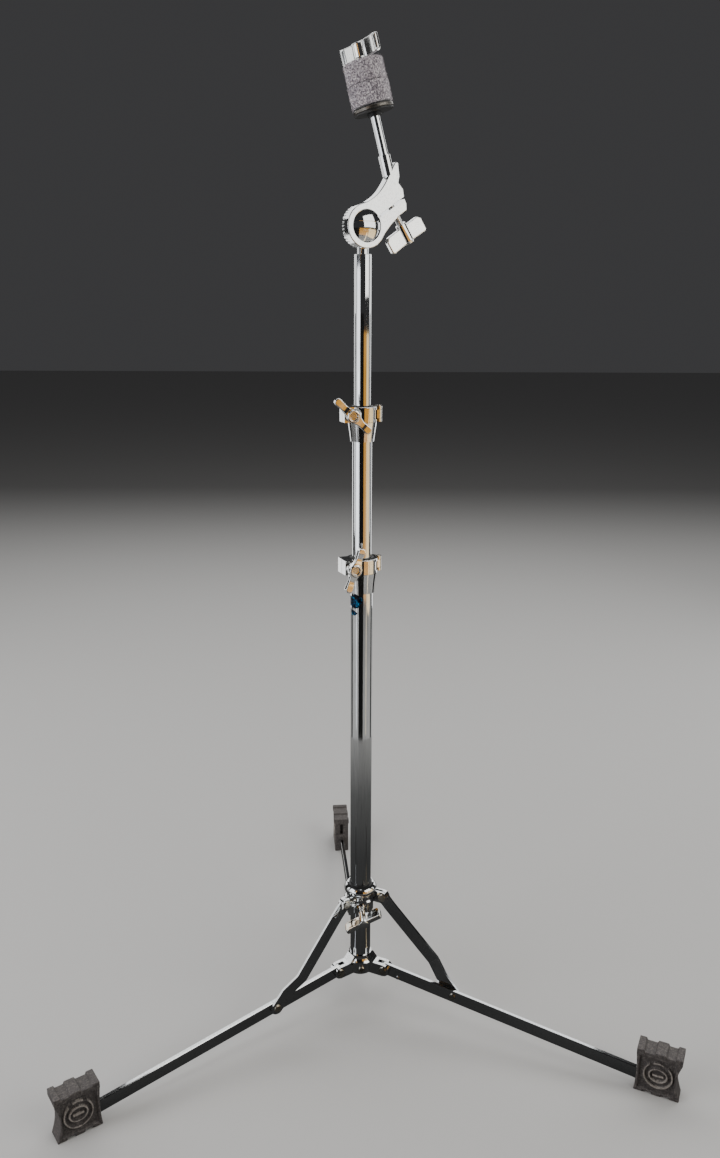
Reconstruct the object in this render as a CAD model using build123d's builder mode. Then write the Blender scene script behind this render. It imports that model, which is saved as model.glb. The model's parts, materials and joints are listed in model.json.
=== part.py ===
"""Flat-base straight stand for a cymbal: folding tripod, two telescoping tubes with hinged
clamps, and a tilting rod with felts.  Millimetres, +Z up, the main tube's axis on the Z axis,
the feet's soles at Z = 0.  Each leg, foot and strut is drawn in its leg's own upright plane,
where x runs out from the tube's axis and y runs up."""
from build123d import *
from math import cos, hypot, radians, sin
from types import SimpleNamespace
import os

os.makedirs("parts", exist_ok=True)

# ---- driving dimensions -------------------------------------------------------------------
LEGS = {"left": 215.0, "right": 335.0, "rear": 95.0}   # azimuth of each leg, degrees
FIT = 0.05                # running clearance on a radius
GAP = 0.3                 # space between parts that move past each other

BASE_R, BASE_WALL = 11.1, 1.3          # 7/8 inch tube
MID_R, MID_WALL = 9.525, 1.2           # 3/4 inch tube
TOP_R, TOP_WALL = 7.94, 1.2            # 5/8 inch tube
MID_LENGTH, TOP_LENGTH = 430.0, 400.0

HUB_R, HUB_Z, HUB_H = 15.5, 45.5, 15.0
HUB_NECK_Z = 60.0                      # top of the hub's flared neck
LEG_PIVOT_R = 30.0
LEG_SLOPE = 6.56                       # degrees down towards the foot
LEG_H, LEG_T = 14.0, 4.5
LEG_LENGTH = 303.0                     # pivot to the end inside the foot
STRUT_PIVOT_R = 110.2                  # on the leg, from the tube's axis
LEG_EDGE = 0.7                         # broken edges of the bar
STOP_ALONG, STOP_UP, STOP_R = 17.0, -4.4, 1.7   # small stud on the leg's side
STRUT_W, STRUT_T = 14.0, 2.5

COLLAR_PIVOT_R, COLLAR_PIVOT_Z = 24.3, 131.4
COLLAR_R, COLLAR_LINER_R = 15.2, 12.4
COLLAR_LOW, COLLAR_LIP, COLLAR_TOP = 115.0, 128.0, 147.0
COLLAR_BEAD_R = COLLAR_R + 2.2
COLLAR_SCREW_AZ, COLLAR_SCREW_Z = 275.0, 122.0

FOOT_IN, FOOT_OUT, FOOT_H, FOOT_T = 306.8, 349.0, 50.0, 20.4

RING_H = 14.5
LOWER_RING_Z, LOWER_CUP_Z = 497.0, 477.0
UPPER_RING_Z, UPPER_CUP_Z = 643.0, 625.0
LOWER_NUT_AZ, UPPER_NUT_AZ = 293.0, 285.0   # where each clamp's wing nut faces
BOLT_R = 3.0                                # M6
WING_SPAN = 45.0
SPLIT = 0.8                                 # gap between a clamp's two halves
SPOT_R = 5.8                                # flat seat for the bolt's head and the washer
RIM_R = 0.8                                 # rounding round the top of a clamp's ring

TILT_Z, TILT_YAW = 815.0, 27.0         # tilter axis height, and its turn from facing front
TOP_TUBE_END = 791.5
DRUM_R, TILT_R = 14.0, 18.8
ARM_BACK, ARM_FRONT = -1.5, 8.0        # the arm's faces along the tilter axis
ARM_EDGE_R = 0.8
DISC_BACK, DISC_FRONT = -5.3, 3.6      # the serrated disc's faces
DRUM_FRONT, CAP_EDGE, CAP_FRONT = 5.2, 7.0, 11.0   # drum's face, the cap's edge and its crown
ROD_R, SLEEVE_R = 4.0, 5.45            # M8 rod in its socket
SLEEVE_L = 17.0                        # length of the socket's round sleeve
ROD_LEAN, ROD_BACK = 14.0, 5.0         # degrees from upright, in the arm's plane and out of it
ROD_U, ROD_V, ROD_S = 19.85, 59.0, 1.3  # socket mouth, in the tilter's plane
LOWER_FELT_R, UPPER_FELT_R, FELT_H = 18.0, 17.4, 17.8
SEAT_AT, SEAT_T, FELT_AT = 36.2, 3.4, 40.6   # along the rod from the socket mouth
SEAT_R = 17.7
SLIT_ANGLE, SLIT_GAP, SCREW_ALONG = 33.6, 2.1, 31.5

# ---- small helpers ------------------------------------------------------------------------


def save(piece, name):
    """Label one finished piece and write it as its own STEP file."""
    piece.part.label = name
    export_step(piece.part, f"parts/{name}.step")


def leg_plane(azimuth, t=0.0):
    """Upright plane through the tube's axis: x outwards, y up, shifted sideways by t."""
    a = radians(azimuth)
    side = Vector(-sin(a), cos(a), 0)
    return Plane(origin=side * t, x_dir=(cos(a), sin(a), 0), z_dir=-side)


def side_plane(azimuth, radius, z):
    """Plane facing outwards at an azimuth: x level, y up, at a radius and height."""
    a = radians(azimuth)
    out = Vector(cos(a), sin(a), 0)
    return Plane(origin=out * radius + Vector(0, 0, z), x_dir=(-sin(a), cos(a), 0), z_dir=out)


def leg_point(along, up=0.0):
    """Place in the leg plane, measured along and square to the sloping leg."""
    a = radians(-LEG_SLOPE)
    return (LEG_PIVOT_R + along * cos(a) - up * sin(a), HUB_Z + along * sin(a) + up * cos(a))


STRUT_ALONG = (STRUT_PIVOT_R - LEG_PIVOT_R) / cos(radians(LEG_SLOPE))
STRUT_FOOT = leg_point(STRUT_ALONG)
STRUT_RUN = STRUT_FOOT[0] - COLLAR_PIVOT_R
STRUT_DROP = COLLAR_PIVOT_Z - STRUT_FOOT[1]
STRUT_LENGTH = hypot(STRUT_RUN, STRUT_DROP)

# ---- telescoping tubes --------------------------------------------------------------------


def tube(name, radius, wall, low, high):
    """Drawn steel tube between two heights, with its top edges broken."""
    with BuildPart() as piece:
        with BuildSketch(Plane.XY.offset(low)):
            Circle(radius)
            Circle(radius - wall, mode=Mode.SUBTRACT)
        extrude(amount=high - low)
        chamfer(piece.edges().filter_by(GeomType.CIRCLE).group_by(Axis.Z)[-1], 0.3)
    save(piece, name)


tube("base_tube", BASE_R, BASE_WALL, HUB_Z - HUB_H / 2 + 2, LOWER_RING_Z)
tube("middle_tube", MID_R, MID_WALL, UPPER_RING_Z - MID_LENGTH, UPPER_RING_Z)
tube("top_tube", TOP_R, TOP_WALL, TOP_TUBE_END - TOP_LENGTH, TOP_TUBE_END)

# ---- hub: clevis casting at the foot of the base tube --------------------------------------

EAR_IN, EAR_OUT = LEG_T / 2 + 0.2, LEG_T / 2 + 3.9    # across the leg, from its mid plane
RIVET_R = 2.5
with BuildPart() as hub:
    with BuildSketch(Plane.XZ):
        with BuildLine():
            Polyline((0, HUB_Z - HUB_H / 2), (HUB_R - 1.5, HUB_Z - HUB_H / 2),
                     (HUB_R, HUB_Z - HUB_H / 2 + 1.5), (HUB_R, HUB_Z + HUB_H / 2 - 1))
            RadiusArc((HUB_R, HUB_Z + HUB_H / 2 - 1), (BASE_R + 1.2, HUB_NECK_Z), 9)
            Polyline((BASE_R + 1.2, HUB_NECK_Z), (0, HUB_NECK_Z), (0, HUB_Z - HUB_H / 2))
        make_face()
    revolve(axis=Axis.Z)
    for az in LEGS.values():
        with BuildSketch(leg_plane(az)):
            with Locations((LEG_PIVOT_R, HUB_Z)):
                Circle(LEG_H / 2 - 0.3)
            with Locations(((LEG_PIVOT_R + 6) / 2, HUB_Z)):
                Rectangle(LEG_PIVOT_R - 6, HUB_H - 1)
            with BuildLine():
                Polyline((HUB_R - 3, HUB_NECK_Z - 1), (HUB_R - 3, HUB_Z), (LEG_PIVOT_R, HUB_Z),
                         (LEG_PIVOT_R - 2, HUB_Z + HUB_H / 2 - 1), (HUB_R + 2.5, HUB_Z + HUB_H / 2 - 0.5),
                         (HUB_R - 3, HUB_NECK_Z - 1))
            make_face()
        extrude(amount=EAR_OUT, both=True)
    for az in LEGS.values():
        with BuildSketch(leg_plane(az)):
            with Locations((LEG_PIVOT_R - LEG_H / 2 - 0.6, HUB_Z)):
                Rectangle(20, 2 * HUB_H + 20, align=(Align.MIN, Align.CENTER))
        extrude(amount=EAR_IN, both=True, mode=Mode.SUBTRACT)
        with BuildSketch(leg_plane(az)):
            with Locations((LEG_PIVOT_R, HUB_Z)):
                Circle(RIVET_R)
        extrude(amount=EAR_OUT + 1, both=True, mode=Mode.SUBTRACT)
    with Locations((0, 0, HUB_Z - HUB_H / 2 + 2)):
        Cylinder(BASE_R, 60, align=(Align.CENTER, Align.CENTER, Align.MIN), mode=Mode.SUBTRACT)
    with Locations(side_plane(COLLAR_SCREW_AZ, 0, HUB_Z)):
        Cylinder(2.0, 40, align=(Align.CENTER, Align.CENTER, Align.MIN), mode=Mode.SUBTRACT)
save(hub, "hub")

with BuildPart() as hub_screw:
    with BuildSketch(side_plane(COLLAR_SCREW_AZ, BASE_R, HUB_Z)):
        Circle(2.0)
    extrude(amount=HUB_R - BASE_R + 0.2)
    with BuildSketch(side_plane(COLLAR_SCREW_AZ, HUB_R + 0.1, HUB_Z)):
        Circle(3.6)
    extrude(amount=2.0)
    fillet(hub_screw.edges().filter_by(GeomType.CIRCLE).sort_by_distance((0, 0, HUB_Z))[-1], 0.9)
    with BuildSketch(side_plane(COLLAR_SCREW_AZ, HUB_R + 1.2, HUB_Z)):
        Rectangle(4.4, 0.8)
        Rectangle(0.8, 4.4)
    extrude(amount=2, mode=Mode.SUBTRACT)
save(hub_screw, "hub_screw")


def rivet(azimuth, centre, tail, head, shank_r, head_r):
    """Solid rivet across a leg plane from t = tail to t = head, with a round head at each end."""
    head_h = 1.3
    with BuildPart() as one:
        lengths = (tail - head_h, tail, head_r), (tail, head, shank_r), (head, head + head_h, head_r)
        for t0, t1, r in lengths:
            with BuildSketch(leg_plane(azimuth, t1)):
                with Locations(centre):
                    Circle(r)
            extrude(amount=t1 - t0)
    return one.part


hub_rivet_list = [rivet(az, (LEG_PIVOT_R, HUB_Z), -EAR_OUT, EAR_OUT, RIVET_R - FIT, 4.2)
                  for az in LEGS.values()]
with BuildPart() as hub_rivets:
    add(hub_rivet_list)
save(hub_rivets, "hub_rivets")

# ---- legs, feet and struts -----------------------------------------------------------------


def leg(name, azimuth):
    """Flat bar leg with rounded inner end, its pivot hole and a small stop stud."""
    with BuildPart() as piece:
        with BuildSketch(leg_plane(azimuth)):
            with Locations(leg_point(0)):
                Circle(LEG_H / 2)
            with Locations(Location((*leg_point(LEG_LENGTH / 2), 0), (0, 0, -LEG_SLOPE))):
                Rectangle(LEG_LENGTH, LEG_H)
            with Locations(leg_point(0)):
                Circle(RIVET_R, mode=Mode.SUBTRACT)
            with Locations(leg_point(STRUT_ALONG)):
                Circle(2.0, mode=Mode.SUBTRACT)
        extrude(amount=LEG_T / 2, both=True)
        flats = piece.faces().sort_by(Axis((0, 0, 0), leg_plane(azimuth).z_dir))
        chamfer(flats[0].outer_wire().edges() + flats[-1].outer_wire().edges(), LEG_EDGE)
        with BuildSketch(leg_plane(azimuth, -LEG_T / 2)):
            with Locations(leg_point(STOP_ALONG, STOP_UP)):
                Circle(STOP_R)
        extrude(amount=1.0)
    save(piece, name)


FOOT_LEDGE = 7.0          # depth of the foot's top cap
FOOT_WAIST = 5.0          # how far the outer end is hollowed
RIDGES = ((FOOT_IN, 6.5), (FOOT_IN + 17.5, 9.5), (FOOT_OUT - 6.0, 6.0))


def foot(name, azimuth):
    """Rubber boot: ridged cap, hollowed outer end, relieved sole, pocket for the leg."""
    with BuildPart() as piece:
        with BuildSketch(leg_plane(azimuth)):
            with BuildLine():
                Polyline((FOOT_OUT, FOOT_H - 2.2), (FOOT_IN, FOOT_H - 2.2), (FOOT_IN, FOOT_H - FOOT_LEDGE))
                ThreePointArc((FOOT_IN, FOOT_H - FOOT_LEDGE), (FOOT_IN - 1.5, FOOT_H / 2), (FOOT_IN, 0))
                Polyline((FOOT_IN, 0), (FOOT_OUT, 0))
                ThreePointArc((FOOT_OUT, 0), (FOOT_OUT - FOOT_WAIST, FOOT_H * 0.42),
                              (FOOT_OUT, FOOT_H - FOOT_LEDGE))
                Line((FOOT_OUT, FOOT_H - FOOT_LEDGE), (FOOT_OUT, FOOT_H - 2.2))
            make_face()
        extrude(amount=FOOT_T / 2 - 0.7, both=True)
        with BuildSketch(leg_plane(azimuth)):
            with Locations(((FOOT_IN + FOOT_OUT) / 2, FOOT_H - 2.2)):
                Rectangle(FOOT_OUT - FOOT_IN, FOOT_LEDGE - 2.2, align=(Align.CENTER, Align.MAX))
            for start, width in RIDGES:
                with Locations((start, FOOT_H - 2.4)):
                    Rectangle(width, 2.4, align=(Align.MIN, Align.MIN))
        extrude(amount=FOOT_T / 2, both=True)
        with BuildSketch(leg_plane(azimuth)):
            for start, width in ((FOOT_IN + 9, 7.5), (FOOT_IN + 25, 7.5)):
                with Locations((start, 0)):
                    Rectangle(width, 2.6, align=(Align.MIN, Align.MIN))
        extrude(amount=FOOT_T, both=True, mode=Mode.SUBTRACT)
        with BuildSketch(leg_plane(azimuth)):
            with Locations(Location((*leg_point(LEG_LENGTH / 2), 0), (0, 0, -LEG_SLOPE))):
                Rectangle(LEG_LENGTH, LEG_H)
        extrude(amount=LEG_T / 2, both=True, mode=Mode.SUBTRACT)
        with BuildSketch(leg_plane(azimuth)):
            with Locations((FOOT_IN, FOOT_H * 0.64)):
                Rectangle(16, 11)
        extrude(amount=1.7, both=True, mode=Mode.SUBTRACT)
    save(piece, name)


STRUT_TOP_T = 5.8                            # strut's mid plane between the collar's ears
STRUT_LOW_T = LEG_T / 2 + GAP + STRUT_T / 2  # beside the leg
STRUT_BOW_T = 10.5                           # where it stands furthest out
STRUT_STATIONS = ((-STRUT_W / 2, STRUT_TOP_T), (14.0, STRUT_TOP_T), (88.0, STRUT_BOW_T),
                  (109.0, STRUT_LOW_T), (STRUT_LENGTH + STRUT_W / 2, STRUT_LOW_T))


def strut_axes(azimuth):
    """The strut's pivot on the collar, its direction and its sideways direction in space."""
    plane = leg_plane(azimuth)
    top = plane.from_local_coords(Vector(COLLAR_PIVOT_R, COLLAR_PIVOT_Z, 0))
    low = plane.from_local_coords(Vector(STRUT_FOOT[0], STRUT_FOOT[1], 0))
    along = (low - top).normalized()
    side = -plane.z_dir
    return top, along, side


def strut(name, azimuth):
    """Pressed steel strap with a double bend, so that it lies beside the leg at its foot."""
    top, along, side = strut_axes(azimuth)
    strip = Plane(origin=top, x_dir=along, z_dir=along.cross(side))
    outline = Plane(origin=top, x_dir=along, z_dir=side)
    with BuildPart() as piece:
        with BuildSketch(strip):
            with BuildLine():
                lower = [(d, t - STRUT_T / 2) for d, t in STRUT_STATIONS]
                upper = [(d, t + STRUT_T / 2) for d, t in reversed(STRUT_STATIONS)]
                Polyline(*lower, *upper, lower[0])
            make_face()
        extrude(amount=STRUT_W / 2, both=True)
        with BuildSketch(outline):
            with Locations((STRUT_LENGTH / 2, 0)):
                SlotOverall(STRUT_LENGTH + STRUT_W, STRUT_W)
        extrude(amount=20, both=True, mode=Mode.INTERSECT)
        with BuildSketch(outline):
            with Locations((0, 0)):
                Circle(2.05)
            with Locations((STRUT_LENGTH, 0)):
                Circle(2.0)
        extrude(amount=20, both=True, mode=Mode.SUBTRACT)
    save(piece, name)
    with BuildPart() as pin:
        rivet_t = STRUT_LOW_T - STRUT_T / 2
        with BuildSketch(leg_plane(azimuth, STRUT_LOW_T + STRUT_T / 2)):
            with Locations(STRUT_FOOT):
                Circle(2.0)
        extrude(amount=STRUT_T)
        with BuildSketch(leg_plane(azimuth, rivet_t + STRUT_T + 1.4)):
            with Locations(STRUT_FOOT):
                Circle(4.0)
        extrude(amount=1.4)
        fillet(pin.edges().filter_by(GeomType.CIRCLE).sort_by(Axis((0, 0, 0), side))[-1], 1.0)
    save(pin, name.replace("strut", "strut_rivet"))


def leg_rivet(name, azimuth):
    """The strut rivet's other half, pressed into the leg and headed over on its far side."""
    with BuildPart() as piece:
        with BuildSketch(leg_plane(azimuth, LEG_T / 2)):
            with Locations(STRUT_FOOT):
                Circle(2.0)
        extrude(amount=LEG_T)
        with BuildSketch(leg_plane(azimuth, -LEG_T / 2)):
            with Locations(STRUT_FOOT):
                Circle(3.4)
        extrude(amount=1.2)
    save(piece, name)


for side_name, az in LEGS.items():
    leg(f"leg_{side_name}", az)
    foot(f"foot_{side_name}", az)
    strut(f"strut_{side_name}", az)
    leg_rivet(f"leg_rivet_{side_name}", az)

# ---- collar that slides on the base tube ---------------------------------------------------

EARS = (2.2, 4.4), (7.2, 9.4)      # the two ears of each clevis, across the leg's plane
with BuildPart() as collar:
    with BuildSketch(Plane.XZ):
        with BuildLine():
            Polyline((COLLAR_LINER_R, COLLAR_LOW), (COLLAR_R - 1.2, COLLAR_LOW),
                     (COLLAR_R - 1.2, COLLAR_LIP - 1), (COLLAR_R + 1.6, COLLAR_LIP),
                     (COLLAR_R + 1.6, COLLAR_LIP + 2), (COLLAR_R, COLLAR_LIP + 3.5),
                     (COLLAR_R, COLLAR_LIP + 7))
            RadiusArc((COLLAR_R, COLLAR_LIP + 7), (COLLAR_BEAD_R, COLLAR_LIP + 11), 5)
            RadiusArc((COLLAR_BEAD_R, COLLAR_LIP + 11), (COLLAR_R - 0.6, COLLAR_TOP - 1), -7)
            Polyline((COLLAR_R - 0.6, COLLAR_TOP - 1), (COLLAR_LINER_R, COLLAR_TOP - 1.6),
                     (COLLAR_LINER_R, COLLAR_LOW))
        make_face()
    revolve(axis=Axis.Z)
    for az in LEGS.values():
        for t0, t1 in EARS:
            with BuildSketch(leg_plane(az, t1)):
                with Locations((COLLAR_PIVOT_R, COLLAR_PIVOT_Z)):
                    Circle(6.6)
                with Locations((COLLAR_PIVOT_R, COLLAR_PIVOT_Z)):
                    Rectangle(COLLAR_PIVOT_R - 9, 13.2, align=(Align.MAX, Align.CENTER))
            extrude(amount=t1 - t0)
    with BuildSketch(side_plane(COLLAR_SCREW_AZ, 6, COLLAR_SCREW_Z)):
        Circle(6.2)
    extrude(amount=13.5)
    with Locations((0, 0, COLLAR_LOW - 5)):
        Cylinder(COLLAR_LINER_R, 60, align=(Align.CENTER, Align.CENTER, Align.MIN), mode=Mode.SUBTRACT)
    with BuildSketch(side_plane(COLLAR_SCREW_AZ, 6, COLLAR_SCREW_Z)):
        Circle(3.25)
    extrude(amount=20, mode=Mode.SUBTRACT)
    for az in LEGS.values():
        with BuildSketch(leg_plane(az)):
            with Locations((COLLAR_PIVOT_R, COLLAR_PIVOT_Z)):
                Circle(2.05)
        extrude(amount=-15, mode=Mode.SUBTRACT)
save(collar, "collar")

with BuildPart() as collar_liner:
    with BuildSketch(Plane.XY.offset(COLLAR_LOW + 0.5)):
        Circle(COLLAR_LINER_R)
        Circle(BASE_R + FIT, mode=Mode.SUBTRACT)
    extrude(amount=COLLAR_TOP + 0.5 - COLLAR_LOW)
    with BuildSketch(side_plane(COLLAR_SCREW_AZ, 6, COLLAR_SCREW_Z)):
        Circle(3.25)
    extrude(amount=20, mode=Mode.SUBTRACT)
save(collar_liner, "collar_liner")

collar_rivet_list = [rivet(az, (COLLAR_PIVOT_R, COLLAR_PIVOT_Z), EARS[0][0], EARS[1][1], 2.0, 3.8)
                     for az in LEGS.values()]
with BuildPart() as collar_rivets:
    add(collar_rivet_list)
save(collar_rivets, "collar_rivets")

BAR_L, BAR_W, BAR_T, BARREL_R, SHANK_R = 41.0, 16.5, 5.0, 4.8, 3.2


def wing_screw(name, plane, turn, reach, shank_in):
    """T-shaped wing screw.  The plane's z is the screw's axis, pointing out of the thread."""
    with BuildPart() as piece:
        with BuildSketch(plane.offset(-shank_in)):
            Circle(SHANK_R)
        extrude(amount=shank_in + reach + 1)
        with BuildSketch(plane.offset(reach - 3)):
            Circle(BARREL_R)
        extrude(amount=BAR_W + 2.4, taper=1.0)
        across = Plane(origin=plane.from_local_coords(Vector(0, 0, reach)),
                       x_dir=plane.x_dir.rotate(Axis((0, 0, 0), plane.z_dir), turn),
                       z_dir=plane.x_dir.rotate(Axis((0, 0, 0), plane.z_dir), turn).cross(plane.z_dir))
        with BuildSketch(across):
            with BuildLine():
                half, cut = BAR_L / 2, 3.4
                Polyline((-half + cut, 0), (half - cut, 0), (half, cut), (half, BAR_W - 1.5),
                         (half - 1.5, BAR_W), (BARREL_R, BAR_W - 1.6), (-BARREL_R, BAR_W - 1.6),
                         (-half + 1.5, BAR_W), (-half, BAR_W - 1.5), (-half, cut), (-half + cut, 0))
            make_face()
        extrude(amount=BAR_T / 2, both=True)
    save(piece, name)


wing_screw("collar_wing_screw", side_plane(COLLAR_SCREW_AZ, 0, COLLAR_SCREW_Z), 27, 27.5, -BASE_R - 0.4)

# ---- hinged clamps -------------------------------------------------------------------------


BUSH_T, RING_WALL = 2.35, 3.6      # plastic bushing, and the metal ring round it
LUG_Y, LUG_L = 9.5, 10.6           # the bolt lugs' outer faces from the split, and their length
PIN_R, PIN_OUT = 1.6, 1.8          # hinge pin, and its place outside the ring
EYE_R, EYE_H = 3.6, 3.0            # the two eyes of the fixed half, above and below the gate's
PANEL_Z, PANEL_DEPTH, PANEL_ARC = 2.8, 1.0, (19, 58)   # hollow in the gate, degrees from the hinge
SCREW_PLAY = 0.2                   # round the bolt in its lugs
WASHER_T, NUT_AT = 1.4, LUG_Y + 1.5
BOSS_R, SUNK_R, SUNK = 5.6, 3.9, 2.2
BAR_DEPTH = 6.4                    # thickness of the bow-tie bar


def clamp_frame(inner_r, ring_z, nut_az):
    """The planes and sizes that one clamp's pieces share.  floor is the ring's lower face,
    front is square to the bolt and points at the wing nut."""
    a = radians(nut_az)
    bore = inner_r + BUSH_T
    bolt_x = -(bore + BOLT_R + 0.6)
    floor = Plane(origin=(0, 0, ring_z), x_dir=(-sin(a), cos(a), 0), z_dir=(0, 0, 1))
    front = Plane(origin=floor.from_local_coords(Vector(bolt_x, 0, RING_H / 2)),
                  x_dir=floor.x_dir, z_dir=(cos(a), sin(a), 0))
    return SimpleNamespace(bore=bore, ring_r=bore + RING_WALL, bolt_x=bolt_x, floor=floor, front=front,
                           hinge=(bore + RING_WALL + PIN_OUT, 0))


def ring_half(at, sign, gap):
    """Half of the clamp's ring with its bolt lug, on the side of the split that sign gives."""
    with BuildPart() as half:
        with BuildSketch(at.floor.offset(gap)):
            Circle(at.ring_r)
            with Locations((at.bolt_x - 0.4, sign * LUG_Y / 2)):
                Rectangle(LUG_L, LUG_Y)
            Circle(at.bore, mode=Mode.SUBTRACT)
            with Locations((0, sign * (SPLIT / 2 - 20))):
                Rectangle(80, 40, mode=Mode.SUBTRACT)
        extrude(amount=RING_H - gap)
        rims = half.edges().filter_by(GeomType.CIRCLE).group_by(Axis.Z)[-1]
        fillet(rims.sort_by(SortBy.RADIUS)[-1], RIM_R)
    return half.part


def clamp_body(prefix, at, inner_r, outer_r, cup_z):
    """Cup on the wider tube, with the rear half ring and the two eyes of the hinge."""
    with BuildPart() as body:
        add(ring_half(at, 1, 0))
        with BuildSketch(at.floor.offset(EYE_H)):
            with Locations(at.hinge):
                Circle(EYE_R + 0.2)
        extrude(amount=RING_H - 2 * EYE_H, mode=Mode.SUBTRACT)
        with BuildSketch(at.front.offset(-LUG_Y - 10)):
            Circle(SPOT_R)
        extrude(amount=10, mode=Mode.SUBTRACT)
        for z0 in (0.0, RING_H - EYE_H):
            with BuildSketch(at.floor.offset(z0)):
                with Locations(at.hinge):
                    Circle(EYE_R)
                with Locations(at.hinge):
                    Rectangle(2 * EYE_R, 5, align=(Align.CENTER, Align.MIN))
                with Locations((at.hinge[0] - 5, 1)):
                    Rectangle(8, 6, align=(Align.CENTER, Align.MIN))
                Circle(at.ring_r - 1, mode=Mode.SUBTRACT)
            extrude(amount=EYE_H)
        with BuildSketch(at.floor):
            Circle(at.ring_r + 0.1)
        with BuildSketch(Plane.XY.offset(cup_z)):
            Circle(outer_r + 1.9)
        loft()
        with BuildSketch(at.floor.offset(-30)):
            Circle(outer_r)
        extrude(amount=30, mode=Mode.SUBTRACT)
        with BuildSketch(at.floor.offset(-0.5)):
            Circle(inner_r + GAP)
        extrude(amount=1.0, mode=Mode.SUBTRACT)
        with BuildSketch(at.floor.offset(-1)):
            with Locations(at.hinge):
                Circle(PIN_R)
        extrude(amount=RING_H + 2, mode=Mode.SUBTRACT)
        with BuildSketch(at.front.offset(-20)):
            Circle(BOLT_R + SCREW_PLAY)
        extrude(amount=22, mode=Mode.SUBTRACT)
    save(body, f"{prefix}_clamp")


def clamp_gate(prefix, at):
    """Front half ring, which swings on the hinge pin."""
    eye_z = EYE_H + GAP
    with BuildPart() as gate:
        add(ring_half(at, -1, GAP))
        with BuildSketch(at.front.offset(LUG_Y)):
            Circle(SPOT_R + 0.4)
        extrude(amount=10, mode=Mode.SUBTRACT)
        with BuildSketch(at.floor.offset(eye_z)):
            with Locations(at.hinge):
                Circle(EYE_R - 0.1)
            with Locations((at.hinge[0] - 2.4, -0.4)):
                Rectangle(6, 3.1, align=(Align.CENTER, Align.MAX))
            Circle(at.bore, mode=Mode.SUBTRACT)
        extrude(amount=RING_H - 2 * eye_z)
        with BuildSketch(at.floor.offset(PANEL_Z)):
            Circle(at.ring_r + 1)
            Circle(at.ring_r - PANEL_DEPTH, mode=Mode.SUBTRACT)
            with BuildLine():
                reach = 2 * at.ring_r
                corners = [(reach * cos(radians(t)), -reach * sin(radians(t))) for t in PANEL_ARC]
                Polyline((0, 0), *corners, (0, 0))
            make_face(mode=Mode.INTERSECT)
        extrude(amount=RING_H - 2 * PANEL_Z, mode=Mode.SUBTRACT)
        with BuildSketch(at.floor.offset(-1)):
            with Locations(at.hinge):
                Circle(PIN_R + FIT)
        extrude(amount=RING_H + 2, mode=Mode.SUBTRACT)
        for z0, z1 in ((GAP, eye_z), (RING_H - eye_z, RING_H + 1)):
            with BuildSketch(at.floor.offset(z0)):
                with Locations(at.hinge):
                    Circle(EYE_R + 0.5)
            extrude(amount=z1 - z0, mode=Mode.SUBTRACT)
        with BuildSketch(at.front.offset(-2)):
            Circle(BOLT_R + 4 * SCREW_PLAY)
        extrude(amount=22, mode=Mode.SUBTRACT)
    save(gate, f"{prefix}_gate")


def clamp_fasteners(prefix, at, inner_r, boss_h):
    """Hinge pin, hexagon bolt, washer and the bushing inside the ring."""
    with BuildPart() as pin:
        with BuildSketch(at.floor.offset(0.2)):
            with Locations(at.hinge):
                Circle(PIN_R)
        extrude(amount=RING_H + 0.4)
        with BuildSketch(at.floor.offset(RING_H)):
            with Locations(at.hinge):
                Circle(1.5 * PIN_R)
        extrude(amount=0.8)
    save(pin, f"{prefix}_hinge_pin")

    with BuildPart() as bolt:
        with BuildSketch(at.front.offset(-LUG_Y)):
            Circle(BOLT_R)
        extrude(amount=LUG_Y + NUT_AT + boss_h - 2.0)
        with BuildSketch(at.front.offset(-LUG_Y - 3.5)):
            RegularPolygon(5.4, 6)
        extrude(amount=3.5)
        chamfer(bolt.edges().filter_by(GeomType.CIRCLE).sort_by(Axis((0, 0, 0), at.front.z_dir))[-1], 0.6)
    save(bolt, f"{prefix}_clamp_bolt")

    with BuildPart() as washer:
        with BuildSketch(at.front.offset(LUG_Y + FIT)):
            Circle(SPOT_R - 0.2)
            Circle(BOLT_R + FIT, mode=Mode.SUBTRACT)
        extrude(amount=WASHER_T)
    save(washer, f"{prefix}_washer")

    with BuildPart() as bushing:
        with BuildSketch(at.floor.offset(0.1)):
            Circle(at.bore - FIT)
            Circle(inner_r + FIT, mode=Mode.SUBTRACT)
        extrude(amount=RING_H + 0.5)
    save(bushing, f"{prefix}_bushing")


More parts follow.
